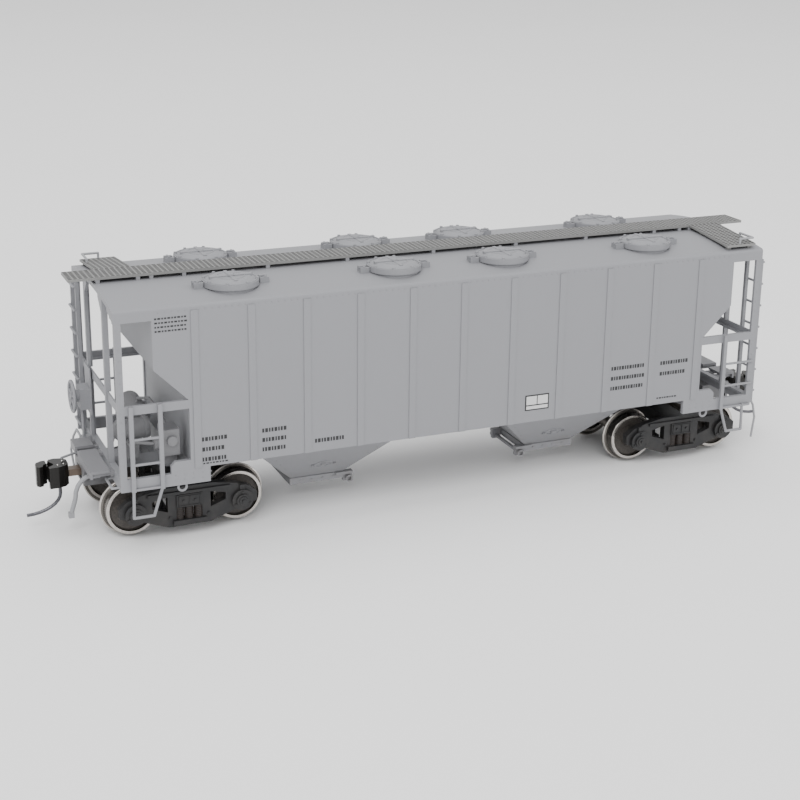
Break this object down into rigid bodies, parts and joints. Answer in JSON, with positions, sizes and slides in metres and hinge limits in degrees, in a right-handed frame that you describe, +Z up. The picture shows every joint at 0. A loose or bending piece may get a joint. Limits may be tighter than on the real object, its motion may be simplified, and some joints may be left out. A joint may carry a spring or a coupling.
{
  "type": "model covered hopper car",
  "caption": "Scale model of a covered hopper railway car with two funnel bays, roof hatches, end cages with ladders, swivelling trucks and knuckle couplers.",
  "frame": {"origin": "under the middle of the car, on the plane that the wheel flanges stand on", "axes": "+X along the car from its brake end to its other end, +Y across it, +Z up; the rail head is 0.64 mm above the origin"},
  "size_m": [0.1582, 0.0358, 0.0473],
  "materials": {
    "body_plastic": "matte light grey paint over moulded plastic",
    "etched_metal": "etched metal, matte grey",
    "wire": "painted wire, matte",
    "pipe_plastic": "matte dark brown",
    "hose_plastic": "matte grey",
    "box_plastic": "matte grey",
    "screw_steel": "plain",
    "spring_bronze": "plain",
    "weight_steel": "plain",
    "truck_plastic": "matte near black",
    "wheel_metal": "nickel plated tread, dull faces",
    "axle_metal": "turned steel",
    "coupler_metal": "blackened cast metal",
    "pin_steel": "dark steel wire"
  },
  "bodies": {
    "car": {"side_sheet_near": "body_plastic", "side_sheet_far": "body_plastic", "roof_sheet": "body_plastic", "hatch_covers": "body_plastic", "hatch_brackets": "body_plastic", "running_board": "etched_metal", "board_saddles": "body_plastic", "corner_walks": "etched_metal", "hand_grabs": "wire", "end_sheets": "body_plastic", "hopper_bay_a": "body_plastic", "hopper_bay_b": "body_plastic", "outlet_frames": "body_plastic", "gate_shafts": "body_plastic", "centre_sill": "body_plastic", "body_bolsters": "body_plastic", "corner_posts": "body_plastic", "side_sills": "body_plastic", "side_braces": "body_plastic", "end_sills": "body_plastic", "end_rails": "body_plastic", "end_posts": "body_plastic", "side_ladders": "body_plastic", "end_ladders": "body_plastic", "end_steps": "etched_metal", "brake_wheel": "body_plastic", "brake_gearbox": "body_plastic", "brake_rod": "body_plastic", "brake_cylinder": "pipe_plastic", "air_reservoir": "pipe_plastic", "control_valve": "pipe_plastic", "brake_pipes": "pipe_plastic", "draft_boxes": "box_plastic", "draft_lids": "box_plastic", "lid_screws": "screw_steel", "centring_springs": "spring_bronze", "kingpin_screws": "screw_steel", "uncoupling_levers": "wire", "air_hoses": "hose_plastic", "ballast_weight": "weight_steel"},
    "truck_a": {"truck_bolster_a": "truck_plastic", "sideframe_far_a": "truck_plastic", "sideframe_near_a": "truck_plastic"},
    "wheelset_a1": {"wheels_a1": "wheel_metal", "axle_a1": "axle_metal"},
    "wheelset_a2": {"wheels_a2": "wheel_metal", "axle_a2": "axle_metal"},
    "coupler_a": {"coupler_head_a": "coupler_metal"},
    "knuckle_a": {"knuckle_a": "coupler_metal", "trip_pin_a": "pin_steel"},
    "truck_b": {"truck_bolster_b": "truck_plastic", "sideframe_far_b": "truck_plastic", "sideframe_near_b": "truck_plastic"},
    "wheelset_b1": {"wheels_b1": "wheel_metal", "axle_b1": "axle_metal"},
    "wheelset_b2": {"wheels_b2": "wheel_metal", "axle_b2": "axle_metal"},
    "coupler_b": {"coupler_head_b": "coupler_metal"},
    "knuckle_b": {"knuckle_b": "coupler_metal", "trip_pin_b": "pin_steel"}
  },
  "joints": [
    {"name": "truck_a_swivel", "type": "hinge", "parent": "car", "child": "truck_a", "pos_m": [-0.052, 0, 0.00998], "axis": [0, 0, 1], "range_deg": [-10, 10]},
    {"name": "wheelset_a1_spin", "type": "hinge", "parent": "truck_a", "child": "wheelset_a1", "pos_m": [-0.0619, 0, 0.00545], "axis": [0, 1, 0], "continuous": true},
    {"name": "wheelset_a2_spin", "type": "hinge", "parent": "truck_a", "child": "wheelset_a2", "pos_m": [-0.0421, 0, 0.00545], "axis": [0, 1, 0], "continuous": true},
    {"name": "coupler_a_swing", "type": "hinge", "parent": "car", "child": "coupler_a", "pos_m": [-0.0659, 0, 0.01056], "axis": [0, 0, 1], "range_deg": [-15, 15], "stiffness_Nm_per_rad": 0.00002},
    {"name": "knuckle_a_swing", "type": "hinge", "parent": "coupler_a", "child": "knuckle_a", "pos_m": [-0.07375, 0.0013, 0.01056], "axis": [0, 0, 1], "range_deg": [-25, 0], "stiffness_Nm_per_rad": 0.000005},
    {"name": "truck_b_swivel", "type": "hinge", "parent": "car", "child": "truck_b", "pos_m": [0.052, 0, 0.00998], "axis": [0, 0, 1], "range_deg": [-10, 10]},
    {"name": "wheelset_b1_spin", "type": "hinge", "parent": "truck_b", "child": "wheelset_b1", "pos_m": [0.0619, 0, 0.00545], "axis": [0, 1, 0], "continuous": true},
    {"name": "wheelset_b2_spin", "type": "hinge", "parent": "truck_b", "child": "wheelset_b2", "pos_m": [0.0421, 0, 0.00545], "axis": [0, 1, 0], "continuous": true},
    {"name": "coupler_b_swing", "type": "hinge", "parent": "car", "child": "coupler_b", "pos_m": [0.0659, 0, 0.01056], "axis": [0, 0, 1], "range_deg": [-15, 15], "stiffness_Nm_per_rad": 0.00002},
    {"name": "knuckle_b_swing", "type": "hinge", "parent": "coupler_b", "child": "knuckle_b", "pos_m": [0.07375, -0.0013, 0.01056], "axis": [0, 0, 1], "range_deg": [-25, 0], "stiffness_Nm_per_rad": 0.000005}
  ]
}
